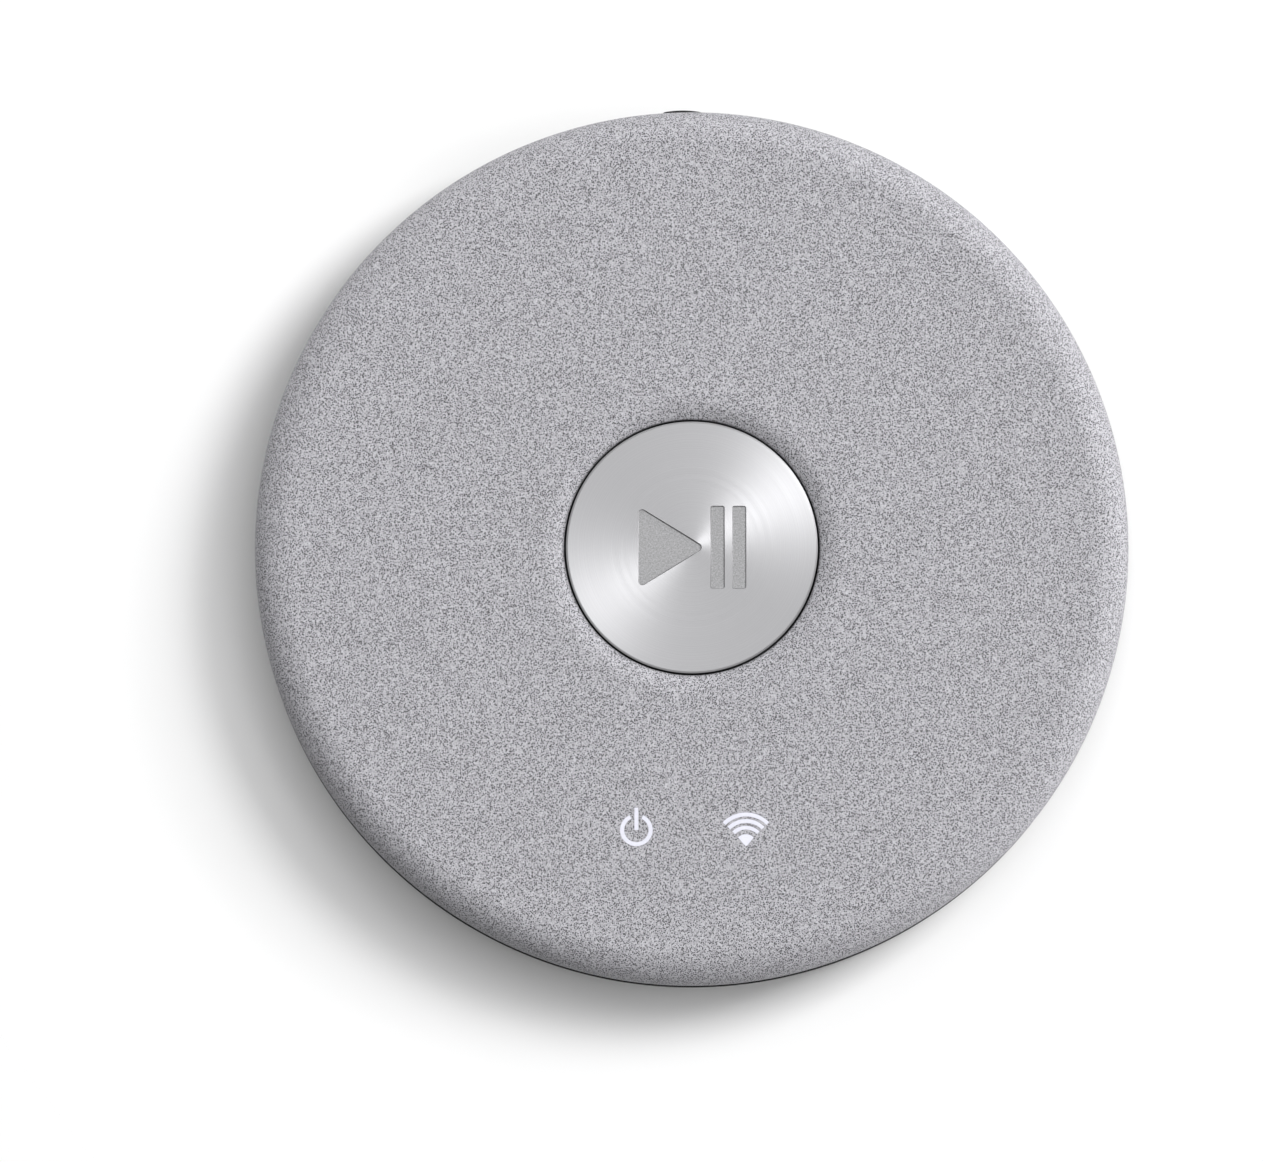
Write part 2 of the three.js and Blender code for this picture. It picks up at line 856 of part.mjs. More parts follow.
// ---- power button: a domed cap with a long stem that presses a right-angle switch ----
const power = new THREE.Group();
power.name = "power_button";
root.add(power);
{
  const cap = latheY(
    [
      [0, 54.2],
      [POWER_R, 54.2],
      [POWER_R, POWER_APEX - 0.75],
      [POWER_R - 0.2, POWER_APEX - 0.35],
      [POWER_R - 0.9, POWER_APEX - 0.1],
      [0, POWER_APEX],
    ],
    PILLAR_X,
    POWER_Z,
  );
  add(
    "power_button_cap",
    join(
      cap,
      box(
        PILLAR_X - 1.4,
        PILLAR_X + 1.4,
        46.5,
        55,
        POWER_Z - 1.4,
        POWER_Z + 1.4,
      ),
    ),
    "black",
    power,
  );
  add(
    "power_switch_plunger",
    cylY(1.4, 43.6, 46.45, PILLAR_X, POWER_Z, 16),
    "black",
    power,
  );
}
add(
  "power_switch_body",
  cut(
    box(PILLAR_X - 3.1, PILLAR_X + 3.1, 39.6, 44.8, T, 14.6),
    cylY(1.7, 42.4, 46, PILLAR_X, POWER_Z, 16),
  ),
  "black",
);

// ---- connectors ----
add(
  "lan_jack",
  cut(
    box(RJ_X - 7.9, RJ_X + 7.9, 29.8, 45.8, T, T + 13.3),
    box(RJ_X - 5.95, RJ_X + 5.95, 33.8, 46, 9.4, 16.6),
    box(RJ_X - 3.2, RJ_X + 3.2, 33.8, 46, 7.7, 9.5),
  ),
  "steel",
);
add(
  "hdmi_jack",
  join(
    cut(
      prismY(
        [
          [HDMI_X - 5.8, T + 0.1],
          [HDMI_X + 5.8, T + 0.1],
          [HDMI_X + 7.5, T + 1.7],
          [HDMI_X + 7.5, T + 5.7],
          [HDMI_X - 7.5, T + 5.7],
          [HDMI_X - 7.5, T + 1.7],
        ],
        36,
        47.3,
      ),
      prismY(
        [
          [HDMI_X - 5.55, T + 0.55],
          [HDMI_X + 5.55, T + 0.55],
          [HDMI_X + 7.05, T + 1.95],
          [HDMI_X + 7.05, T + 5.25],
          [HDMI_X - 7.05, T + 5.25],
          [HDMI_X - 7.05, T + 1.95],
        ],
        38,
        48,
      ),
    ),
    box(HDMI_X - 5.9, HDMI_X + 5.9, 37.5, 46.4, T + 3.0, T + 4.0),
  ),
  "steel",
);
add(
  "dc_jack",
  join(
    cut(
      join(
        box(DC_X - 4.2, DC_X + 4.2, 32.4, 45.7, T, T + 10.2),
        cylY(3.9, 45, 47.3, DC_X, 11.4, 18),
      ),
      cylY(2.8, 36.5, 48, DC_X, 11.4, 18),
    ),
    cylY(0.98, 36, 46.2, DC_X, 11.4, 12),
  ),
  "black",
);
const OPT_Z0 = T,
  OPT_Z1 = T + 10;
add(
  "optical_jack",
  cut(
    box(OPT_X - 4.8, OPT_X + 4.8, 32.6, 47.3, OPT_Z0, OPT_Z1),
    box(OPT_X - 3.9, OPT_X + 3.9, 36, 48, 7.2, 15.0),
  ),
  "black",
);
const FLAP = { x0: OPT_X - 3.65, x1: OPT_X + 3.65, y: 46.4, z: 14.5 };
const shutter = new THREE.Group();
shutter.name = "optical_shutter_pivot";
shutter.position.set(0, FLAP.y, FLAP.z);
root.add(shutter);
add(
  "optical_shutter",
  box(FLAP.x0, FLAP.x1, -0.3, 0.3, -7.05, 0.25),
  "black",
  shutter,
);

export default root;
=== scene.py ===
import json
import math

import bmesh
import bpy
from mathutils import Matrix, Vector


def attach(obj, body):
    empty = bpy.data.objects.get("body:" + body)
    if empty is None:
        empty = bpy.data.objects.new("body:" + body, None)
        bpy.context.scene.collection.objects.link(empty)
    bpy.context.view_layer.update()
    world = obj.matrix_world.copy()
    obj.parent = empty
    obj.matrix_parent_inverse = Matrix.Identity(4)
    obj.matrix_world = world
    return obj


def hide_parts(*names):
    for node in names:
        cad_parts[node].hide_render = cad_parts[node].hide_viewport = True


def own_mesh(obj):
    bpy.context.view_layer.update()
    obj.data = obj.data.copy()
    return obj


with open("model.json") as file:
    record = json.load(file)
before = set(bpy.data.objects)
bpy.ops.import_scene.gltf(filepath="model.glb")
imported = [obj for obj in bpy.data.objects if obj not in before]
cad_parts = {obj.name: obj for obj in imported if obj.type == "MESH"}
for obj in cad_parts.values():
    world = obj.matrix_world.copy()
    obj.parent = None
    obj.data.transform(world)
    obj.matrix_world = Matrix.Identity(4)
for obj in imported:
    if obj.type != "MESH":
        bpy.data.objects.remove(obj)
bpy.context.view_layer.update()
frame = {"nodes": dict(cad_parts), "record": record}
nodes = frame["nodes"]
MM = 0.001

# ---------------------------------------------------------------- dimensions (mm), as in the CAD
R, R_FOOT, R_TOP, H = 60.0, 59.76, 59.63, 24.0
EDGE, WALL = 4.8, 2.2
HOLE_R, DIP_R, DIP_ANGLE = 17.42, 4.25, 45.0
DISC_R, DISC_TOP, DISC_T = 17.14, 23.2, 1.6
CROWN = 0.16  # the metal face is this much higher at its centre
UNDER = H - WALL
BOSSES = [(44, 24), (-44, 24), (30, -40), (-30, -40)]
BOARD_SCREWS = [(46, 4), (-46, 4), (17, -45), (-17, -45)]
FRAME_BOSSES = [
    (23 * math.cos(math.radians(d)), 23 * math.sin(math.radians(d)))
    for d in (90, 210, 330)
]
POWER_X, POWER_Y, POWER_RO, POWER_RI, POWER_GAP = -7.55, -38.46, 2.23, 1.64, 24.0
WIFI_X, WIFI_Y = 7.35, -40.5
WIFI_ARCS = [(4.44, 3.85), (3.55, 2.97), (2.63, 2.07)]
PANEL_Y, PANEL_T, BAY0, BAY1 = 47.5, 1.5, 6.2, 17.4
PILLAR_X, PILLAR_HALF = -1.2, 4.4
BUTTON_R, BUTTON_Z, BUTTON_APEX = 2.8, 11.9, 60.45
RJ_X, HDMI_X, DC_X, OPT_X = 12.6, -16.4, -31.5, 27.5
BOARD_TOP = 6.0


# ---------------------------------------------------------------- mesh helpers
def sharpen(me, angle=32.0):
    """Smooth faces, with an edge kept sharp where its two faces meet at more than the angle."""
    bm = bmesh.new()
    bm.from_mesh(me)
    lim = math.radians(angle)
    for f in bm.faces:
        f.smooth = True
    for e in bm.edges:
        e.smooth = not (len(e.link_faces) != 2 or e.calc_face_angle(0.0) > lim)
    bm.to_mesh(me)
    bm.free()


def from_bm(bm, name, merge=1e-7):
    bmesh.ops.remove_doubles(bm, verts=bm.verts, dist=merge)
    bmesh.ops.recalc_face_normals(bm, faces=bm.faces)
    me = bpy.data.meshes.new(name)
    bm.to_mesh(me)
    bm.free()
    ob = bpy.data.objects.new(name, me)
    bpy.context.scene.collection.objects.link(ob)
    return ob


def lathe(name, profile, seg=128, axis="Z", at=(0.0, 0.0, 0.0), a0=0.0):
    """Turns a profile of (radius, height) mm points. It ends on the axis or closes on itself."""
    bm = bmesh.new()
    closed = profile[0][0] > 1e-9 or profile[-1][0] > 1e-9
    rings = []
    for r, z in profile:
        ring = []
        for i in range(seg if r > 1e-9 else 1):
            a = a0 + 2 * math.pi * i / seg
            x, y, h = r * math.cos(a), r * math.sin(a), z
            p = (x, y, h) if axis == "Z" else ((x, h, y) if axis == "Y" else (h, x, y))
            ring.append(bm.verts.new([(p[k] + at[k]) * MM for k in range(3)]))
        rings.append(ring)
    pairs = list(zip(rings, rings[1:]))
    if closed:
        pairs.append((rings[-1], rings[0]))
    for a, b in pairs:
        for i in range(seg):
            j = (i + 1) % seg
            q = [a[i % len(a)], a[j % len(a)], b[j % len(b)], b[i % len(b)]]
            u = []
            for v in q:
                if v not in u:
                    u.append(v)
            if len(u) > 2:
                try:
                    bm.faces.new(u)
                except ValueError:
                    pass
    return from_bm(bm, name)


def prism(name, pts, z0, z1, to=None):
    """Extrudes an outline of (x, y) mm points from z0 to z1. to maps (x, y, z) mm to a point."""
    bm = bmesh.new()
    to = to or (lambda x, y, z: (x, y, z))
    lo = [bm.verts.new([c * MM for c in to(x, y, z0)]) for x, y in pts]
    hi = [bm.verts.new([c * MM for c in to(x, y, z1)]) for x, y in pts]
    n = len(pts)
    bm.faces.new(lo)
    bm.faces.new(hi)
    for i in range(n):
        bm.faces.new((lo[i], lo[(i + 1) % n], hi[(i + 1) % n], hi[i]))
    return from_bm(bm, name)


def prism_y(name, pts, y0, y1):
    return prism(name, pts, y0, y1, lambda x, z, y: (x, y, z))


def prism_x(name, pts, x0, x1):
    return prism(name, pts, x0, x1, lambda y, z, x: (x, y, z))


def box(name, x0, x1, y0, y1, z0, z1):
    return prism(name, [(x0, y0), (x1, y0), (x1, y1), (x0, y1)], z0, z1)


def rbox(name, x0, x1, y0, y1, z0, z1, bevel=0.25, segments=2):
    """A box with rounded edges."""
    bm = bmesh.new()
    v = [
        bm.verts.new((x * MM, y * MM, z * MM))
        for z in (z0, z1)
        for x, y in ((x0, y0), (x1, y0), (x1, y1), (x0, y1))
    ]
    for f in (
        (0, 1, 2, 3),
        (4, 5, 6, 7),
        (0, 1, 5, 4),
        (1, 2, 6, 5),
        (2, 3, 7, 6),
        (3, 0, 4, 7),
    ):
        bm.faces.new([v[i] for i in f])
    bmesh.ops.recalc_face_normals(bm, faces=bm.faces)
    bmesh.ops.bevel(
        bm,
        geom=list(bm.edges),
        offset=bevel * MM,
        segments=segments,
        profile=0.5,
        affect="EDGES",
    )
    return from_bm(bm, name)


def arc(cx, cy, r, a0, a1, n):
    return [
        (
            cx + r * math.cos(math.radians(a0 + (a1 - a0) * i / n)),
            cy + r * math.sin(math.radians(a0 + (a1 - a0) * i / n)),
        )
        for i in range(n + 1)
    ]


def band(cx, cy, ri, ro, a0, a1, n):
    return arc(cx, cy, ro, a0, a1, n) + arc(cx, cy, ri, a1, a0, n)


def round_rect(x0, x1, y0, y1, r, n=5):
    return (
        arc(x1 - r, y0 + r, r, -90, 0, n)
        + arc(x1 - r, y1 - r, r, 0, 90, n)
        + arc(x0 + r, y1 - r, r, 90, 180, n)
        + arc(x0 + r, y0 + r, r, 180, 270, n)
    )


def merge(name, *obs):
    """Joins objects into one mesh without welding them."""
    bm = bmesh.new()
    for o in obs:
        bm.from_mesh(o.data)
        bpy.data.objects.remove(o)
    me = bpy.data.meshes.new(name)
    bm.to_mesh(me)
    bm.free()
    ob = bpy.data.objects.new(name, me)
    bpy.context.scene.collection.objects.link(ob)
    return ob


def boolean(ob, tool, op="DIFFERENCE"):
    m = ob.modifiers.new("cut", "BOOLEAN")
    m.operation, m.object = op, tool
    m.solver = "EXACT"
    dg = bpy.context.evaluated_depsgraph_get()
    dg.update()
    me = bpy.data.meshes.new_from_object(ob.evaluated_get(dg), depsgraph=dg)
    ob.modifiers.clear()
    old = ob.data
    ob.data = me
    me.name = ob.name
    bpy.data.meshes.remove(old)
    bpy.data.objects.remove(tool)
    return ob


def cut(ob, *tools):
    for t in tools:
        boolean(ob, t)
    return ob


def add(ob, *tools):
    for t in tools:
        boolean(ob, t, "UNION")
    return ob


def tidy(ob, dist=2e-7):
    """Drops the slivers that a cut leaves."""
    bm = bmesh.new()
    bm.from_mesh(ob.data)
    bmesh.ops.dissolve_degenerate(bm, dist=dist, edges=bm.edges)
    bm.to_mesh(ob.data)
    bm.free()
    return ob


def tube(name, points, radius, sides=10, closed_ends=True):
    """A tube of mm points."""
    pts = [Vector(p) * MM for p in points]
    bm = bmesh.new()
    rings = []
    up = Vector((0, 0, 1))
    prev = None
    for i, p in enumerate(pts):
        t = (pts[min(i + 1, len(pts) - 1)] - pts[max(i - 1, 0)]).normalized()
        if prev is None:
            side = t.cross(up if abs(t.z) < 0.9 else Vector((1, 0, 0))).normalized()
        else:
            side = (prev - t * prev.dot(t)).normalized()
        prev = side
        other = t.cross(side)
        rings.append(
            [
                bm.verts.new(
                    p
                    + (
                        side * math.cos(2 * math.pi * k / sides)
                        + other * math.sin(2 * math.pi * k / sides)
                    )
                    * radius
                    * MM
                )
                for k in range(sides)
            ]
        )
    for a, b in zip(rings, rings[1:]):
        for k in range(sides):
            bm.faces.new((a[k], a[(k + 1) % sides], b[(k + 1) % sides], b[k]))
    if closed_ends:
        bm.faces.new(rings[0])
        bm.faces.new(rings[-1])
    return from_bm(bm, name)


# ---------------------------------------------------------------- material helpers
SHELL_GREY, SHELL_TINT = 0.312, (0.995, 0.985, 1.045)


class Mat:
    def __init__(self, name, color=(0.5, 0.5, 0.5), rough=0.5, metal=0.0, spec=0.5):
        self.m = bpy.data.materials.new(name)
        self.m.use_nodes = True
        self.nt = self.m.node_tree
        self.b = next(n for n in self.nt.nodes if n.type == "BSDF_PRINCIPLED")
        self.b.inputs["Base Color"].default_value = (*color, 1.0)
        self.b.inputs["Roughness"].default_value = rough
        self.b.inputs["Metallic"].default_value = metal
        self.b.inputs["Specular IOR Level"].default_value = spec
        self.coord = self.new("ShaderNodeTexCoord").outputs["Object"]

    def new(self, kind, **props):
        n = self.nt.nodes.new(kind)
        for k, v in props.items():
            setattr(n, k, v)
        return n

    def link(self, a, b):
        self.nt.links.new(a, b)

    def math(self, op, a, b=None, clamp=False):
        n = self.new("ShaderNodeMath", operation=op, use_clamp=clamp)
        for i, v in enumerate((a, b)):
            if v is None:
                continue
            if isinstance(v, (int, float)):
                n.inputs[i].default_value = v
            else:
                self.link(v, n.inputs[i])
        return n.outputs[0]

    def noise(self, scale, detail=2.0, rough=0.5, vec=None, dims="3D", w=None):
        n = self.new("ShaderNodeTexNoise", noise_dimensions=dims)
        n.inputs["Scale"].default_value = scale
        n.inputs["Detail"].default_value = detail
        n.inputs["Roughness"].default_value = rough
        if dims != "1D":
            self.link(vec or self.coord, n.inputs["Vector"])
        if w is not None:
            self.link(w, n.inputs["W"])
        return n.outputs["Fac"]

    def cells(self, scale, out="Color", vec=None, feature="F1", rand=1.0):
        n = self.new("ShaderNodeTexVoronoi", feature=feature)
        n.inputs["Scale"].default_value = scale
        n.inputs["Randomness"].default_value = rand
        self.link(vec or self.coord, n.inputs["Vector"])
        if out == "Color":
            s = self.new("ShaderNodeSeparateColor")
            self.link(n.outputs["Color"], s.inputs[0])
            return s.outputs[0]
        return n.outputs[out]

    def ramp(self, fac, stops, mode="LINEAR"):
        n = self.new("ShaderNodeValToRGB")
        n.color_ramp.interpolation = mode
        e = n.color_ramp.elements
        while len(e) < len(stops):
            e.new(0.5)
        for i, (p, c) in enumerate(stops):
            c = (c, c, c) if isinstance(c, (int, float)) else c
            e[i].position, e[i].color = p, (*c, 1.0)
        self.link(fac, n.inputs[0])
        return n.outputs["Color"]

    def mix(self, fac, a, b, kind="MIX"):
        n = self.new("ShaderNodeMix", data_type="RGBA", blend_type=kind)
        for i, v in ((0, fac), (6, a), (7, b)):
            if isinstance(v, (int, float)):
                n.inputs[i].default_value = (v, v, v, 1.0) if i else v
            elif isinstance(v, tuple):
                n.inputs[i].default_value = (*v, 1.0)
            else:
                self.link(v, n.inputs[i])
        return n.outputs[2]

    def range(self, v, lo, hi, a, b):
        n = self.new("ShaderNodeMapRange")
        self.link(v, n.inputs[0])
        for i, x in enumerate((lo, hi, a, b)):
            n.inputs[i + 1].default_value = x
        return n.outputs[0]

    def color(self, c):
        self.link(c, self.b.inputs["Base Color"])

    def rough(self, c):
        self.link(c, self.b.inputs["Roughness"])

    def bump(self, height, distance, strength=1.0, after=None):
        n = self.new("ShaderNodeBump")
        n.inputs["Strength"].default_value = strength
        n.inputs["Distance"].default_value = distance
        self.link(height, n.inputs["Height"])
        if after is not None:
            self.link(after, n.inputs["Normal"])
        self.link(n.outputs[0], self.b.inputs["Normal"])
        return n.outputs[0]


def shell_material():
    """Sand-grained moulded shell: a fine even grain with small pits about 0.3 mm apart, sunk by a slight bump, with
    painted shade inside each pit.
    """
    m = Mat("shell_grain", rough=0.6, spec=0.12)
    grain = m.cells(8000.0)
    dots = m.cells(4200.0, out="Distance")
    pit_and_painted_shade = m.range(dots, 0.22, 0.5, 1.0, 0.0)
    light, dark = (tuple(SHELL_GREY * c * k for c in SHELL_TINT) for k in (1.7, 0.85))
    # the pits' near-black colour is painted shade, standing in for the shadow inside each pit; the bump below sinks
    # them as real pits
    painted_pit_shade = tuple(SHELL_GREY * c * 0.06 for c in SHELL_TINT)
    m.color(m.mix(pit_and_painted_shade, m.mix(grain, dark, light), painted_pit_shade))
    m.bump(m.math("MULTIPLY", pit_and_painted_shade, -1.0), 0.00002, 0.5)
    return m.m


def spun_material():
    """Aluminium turned on a lathe: fine concentric lines, with the sheen stretched across them."""
    m = Mat("spun_aluminium", color=(0.83, 0.83, 0.845), rough=0.48, metal=1.0)
    sep = m.new("ShaderNodeSeparateXYZ")
    m.link(m.coord, sep.inputs[0])
    r2 = m.math(
        "ADD",
        m.math("MULTIPLY", sep.outputs[0], sep.outputs[0]),
        m.math("MULTIPLY", sep.outputs[1], sep.outputs[1]),
    )
    r = m.math("SQRT", r2)
    lines = m.noise(9000.0, detail=4.0, rough=0.75, dims="1D", w=r)
    broad = m.noise(1500.0, detail=2.0, rough=0.6, dims="1D", w=r)
    tone = m.ramp(
        m.math("ADD", m.math("MULTIPLY", lines, 0.8), m.math("MULTIPLY", broad, 0.2)),
        [(0.3, (0.312, 0.311, 0.319)), (0.7, (0.372, 0.371, 0.381))],
    )
    m.color(tone)
    m.rough(m.range(broad, 0.3, 0.7, 0.46, 0.5))
    m.bump(lines, 0.0000006, 0.5)
    t = m.new("ShaderNodeTangent", direction_type="RADIAL", axis="Z")
    m.b.inputs["Anisotropic"].default_value = 0.75
    m.b.inputs["Anisotropic Rotation"].default_value = 0.25
    m.link(t.outputs[0], m.b.inputs["Tangent"])
    return m.m


def blasted_material():
    m = Mat("blasted_aluminium", color=(0.6, 0.6, 0.605), rough=0.6, metal=1.0)
    n = m.noise(4500.0, detail=3.0, rough=0.7)
    m.color(m.ramp(n, [(0.3, (0.198, 0.198, 0.202)), (0.7, (0.37, 0.37, 0.376))]))
    m.bump(n, 0.00001, 0.4)
    return m.m


def plastic(name, color, rough=0.5, grain=2600.0, depth=0.00001, vary=0.12, spec=0.5):
    """Moulded plastic with a spark-eroded grain."""
    m = Mat(name, color=color, rough=rough, spec=spec)
    n = m.noise(grain, detail=2.0, rough=0.6)
    broad = m.noise(60.0, detail=2.0)
    lo = tuple(c * (1 - vary) for c in color)
    hi = tuple(min(1.0, c * (1 + vary)) for c in color)
    m.color(m.mix(m.range(n, 0.3, 0.7, 0.0, 1.0), lo, hi))
    m.rough(m.range(broad, 0.3, 0.7, max(0.05, rough - 0.05), min(1.0, rough + 0.05)))
    m.bump(n, depth, 0.6)
    return m.m


def metal(name, color, rough=0.3, stretch=(1.0, 1.0, 1.0), scale=900.0):
    """Plated or drawn metal with faint lines along one direction."""
    m = Mat(name, color=color, rough=rough, metal=1.0)
    mp = m.new("ShaderNodeMapping")
    mp.inputs["Scale"].default_value = stretch
    m.link(m.coord, mp.inputs["Vector"])
    n = m.noise(scale, detail=3.0, rough=0.6, vec=mp.outputs[0])
    lo = tuple(c * 0.95 for c in color)
    hi = tuple(min(1.0, c * 1.03) for c in color)
    m.color(m.mix(m.range(n, 0.3, 0.7, 0.0, 1.0), lo, hi))
    m.rough(m.range(n, 0.3, 0.7, max(0.05, rough - 0.03), rough + 0.05))
    m.bump(n, 0.0000015, 0.3)
    return m.m


def board_material():
    """Green solder mask over copper tracks and pads."""
    m = Mat("circuit_board", color=(0.02, 0.1, 0.04), rough=0.35)
    mp = m.new("ShaderNodeMapping")
    mp.inputs["Rotation"].default_value = (0, 0, math.radians(45))
    m.link(m.coord, mp.inputs["Vector"])
    tracks = m.new("ShaderNodeTexBrick")
    tracks.offset = 0.37
    tracks.inputs["Scale"].default_value = 260.0
    tracks.inputs["Mortar Size"].default_value = 0.06
    tracks.inputs["Brick Width"].default_value = 1.7
    tracks.inputs["Row Height"].default_value = 0.16
    m.link(mp.outputs[0], tracks.inputs["Vector"])
    blot = m.range(m.noise(120.0, detail=1.0), 0.48, 0.52, 0.0, 1.0)
    f = m.math("MULTIPLY", tracks.outputs["Fac"], blot)
    m.color(m.mix(f, (0.012, 0.075, 0.03), (0.03, 0.16, 0.07)))
    m.bump(f, 0.00003, 0.5)
    return m.m


def glow_material():
    """Lit milky windows, glowing evenly from the lamp behind, with a faint random grain."""
    m = Mat("light_guide", color=(0.425, 0.425, 0.485), rough=0.35, spec=0.15)
    n = m.noise(2500.0, detail=2.0)
    m.color(m.mix(m.range(n, 0.3, 0.7, 0.0, 1.0), (0.4, 0.4, 0.46), (0.45, 0.45, 0.51)))
    m.b.inputs["Emission Color"].default_value = (0.92, 0.92, 1.0, 1.0)
    m.b.inputs["Emission Strength"].default_value = 0.38
    return m.m


def rubber_material(name="foot_rubber"):
    m = Mat(name, color=(0.022, 0.022, 0.023), rough=0.8, spec=0.3)
    n = m.noise(1800.0, detail=4.0, rough=0.7)
    m.color(m.mix(m.range(n, 0.35, 0.65, 0.0, 1.0), (0.016, 0.016, 0.017), (0.032, 0.032, 0.033)))
    m.rough(m.range(n, 0.3, 0.7, 0.72, 0.9))
    m.bump(n, 0.00002, 0.5)
    return m.m


SHELL = shell_material()
SPUN = spun_material()
BLASTED = blasted_material()
BLACK = plastic("black_moulded", (0.014, 0.014, 0.015), 0.55, spec=0.25)
BUTTON = plastic("button_satin_black", (0.009, 0.009, 0.01), 0.5, 5000.0, 0.000002, spec=0.15)
SOCKET = plastic("socket_black", (0.014, 0.014, 0.015), 0.42, 4000.0, 0.000004)
SWITCH = plastic("switch_black", (0.02, 0.02, 0.02), 0.5, 4000.0, 0.000004)
CHIP = plastic("chip_epoxy", (0.028, 0.028, 0.03), 0.55, 6000.0, 0.000008, 0.2)
FOAM = plastic("foam_black", (0.025, 0.025, 0.026), 0.95, 1500.0, 0.00012, 0.4, 0.1)
PAD = plastic("gap_pad", (0.32, 0.4, 0.55), 0.85, 2000.0, 0.00003, 0.1, 0.2)
NYLON = plastic("nylon_natural", (0.72, 0.7, 0.62), 0.45, 3000.0, 0.000004, 0.04)
FILM = plastic("ribbon_film", (0.8, 0.81, 0.84), 0.3, 3000.0, 0.000002, 0.04)
FLEX = plastic("antenna_film", (0.05, 0.045, 0.03), 0.4, 3000.0, 0.000002, 0.3)
COAX = plastic("coax_jacket", (0.018, 0.018, 0.019), 0.35, 3000.0, 0.000003)
PHOSPHOR = plastic("lamp_phosphor", (0.85, 0.8, 0.45), 0.4, 5000.0, 0.000003, 0.06)
STEEL = metal("nickel_steel", (0.62, 0.615, 0.6), 0.3, (1.0, 0.15, 1.0), 3500.0)
SPRING = metal("spring_wire", (0.5, 0.5, 0.5), 0.25)
ANODISED = metal("heat_sink_anodised", (0.45, 0.46, 0.48), 0.4, (1.0, 0.1, 1.0), 2500.0)
CAN = metal("drawn_can", (0.72, 0.72, 0.73), 0.25, (1.0, 1.0, 0.1), 2500.0)
GOLD = metal("gold_contact", (0.83, 0.6, 0.25), 0.22, (1.0, 0.1, 1.0), 3000.0)
BOARD = board_material()
GLOW = glow_material()
RUBBER = rubber_material()


def dress(ob, mat, body, slot, *replaced, angle=32.0):
    if mat is not None:
        ob.data.materials.clear()
        ob.data.materials.append(mat)
    sharpen(ob.data, angle)
    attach(ob, body)
    if replaced:
        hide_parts(*replaced)
    return ob


# ---------------------------------------------------------------- camera (before anything that needs it)
cam_data = bpy.data.cameras.new("camera")
cam = bpy.data.objects.new("camera", cam_data)
bpy.context.scene.collection.objects.link(cam)
TILT = math.radians(1.925)  # off the vertical, towards the front
DISTANCE, PX_PER_MM = 1400.0, 7.288  # at the middle of the part's height, in the 1263-pixel frame
cam_data.sensor_width = 36.0
cam_data.lens = 36.0 * DISTANCE * PX_PER_MM / 1263.0
back = Vector((0.0, -math.sin(TILT), math.cos(TILT)))
up = Vector((0.0, math.cos(TILT), math.sin(TILT)))
cam.location = (
    Vector((0.0, 0.0, 12.0)) + back * DISTANCE - Vector((59.9 / PX_PER_MM, 0.0, 0.0)) - up * (30.7 / PX_PER_MM)
) * MM
cam.rotation_mode = "QUATERNION"
cam.rotation_quaternion = back.to_track_quat("Z", "Y")
cam_data.clip_start, cam_data.clip_end = 0.1, 20.0
bpy.context.scene.camera = cam


# ---------------------------------------------------------------- symbols
def power_symbol(z0, z1, d=0.0):
    turn = math.degrees(d / POWER_RO)
    x, y = POWER_X, POWER_Y
    return [
        prism(
            "ring",
            band(x, y, POWER_RI + d, POWER_RO - d, 90 + POWER_GAP + turn, 450 - POWER_GAP - turn, 56),
            z0,
            z1,
        ),
        prism(
            "bar",
            round_rect(x - 0.285 + d, x + 0.285 - d, y - 0.05 + d, y + 3.06 - d, 0.06, 2),
            z0,
            z1,
        ),
    ]


def wifi_symbol(z0, z1, d=0.0):
    x, y = WIFI_X, WIFI_Y
    out = []
    for ro, ri in WIFI_ARCS:
        turn = math.degrees(d / ro)
        out.append(prism("band", band(x, y, ri + d, ro - d, 44 + turn, 136 - turn, 24), z0, z1))
    out.append(
        prism(
            "wedge",
            arc(x, y, 1.49 - d, 43 + d * 20, 137 - d * 20, 14)
            + arc(x, y + 0.17, 0.3 - d * 0.6, 222, 318, 10),
            z0,
            z1,
        )
    )
    return out


# ---------------------------------------------------------------- shell
def shell_profile():
    c = (HOLE_R + DIP_R * math.sin(math.radians(DIP_ANGLE)), H - DIP_R)
    p = [(HOLE_R, 20.6), (HOLE_R, H - 1.42), (HOLE_R + 0.02, H - 1.33)]
    for i in range(17):
        a = math.radians(DIP_ANGLE * 0.97 * (16 - i) / 16)
        p.append((c[0] - DIP_R * math.sin(a), c[1] + DIP_R * math.cos(a)))
    p.append((c[0] + 0.25, H))
    e = (R_TOP - EDGE, H - EDGE)
    p.append((e[0] - 0.25, H))
    for i in range(25):
        a = math.radians(90 * i / 24)
        p.append((e[0] + EDGE * math.sin(a), e[1] + EDGE * math.cos(a)))
    p += [((R_TOP + R_FOOT) / 2, 12.0), (R_FOOT, 5.3), (R_FOOT - 0.05, 5.14), (R_FOOT - 0.13, 5.04), (R_FOOT - 0.26, 5.0)]
    p += [(R - WALL, 5.0), (R - WALL, 12.0)]
    for i in range(9):
        a = math.radians(90 * (8 - i) / 8)
        p.append((e[0] + (EDGE - WALL) * math.sin(a), e[1] + (EDGE - WALL) * math.cos(a)))
    p += [(20.9, UNDER), (20.9, 20.6)]
    return p


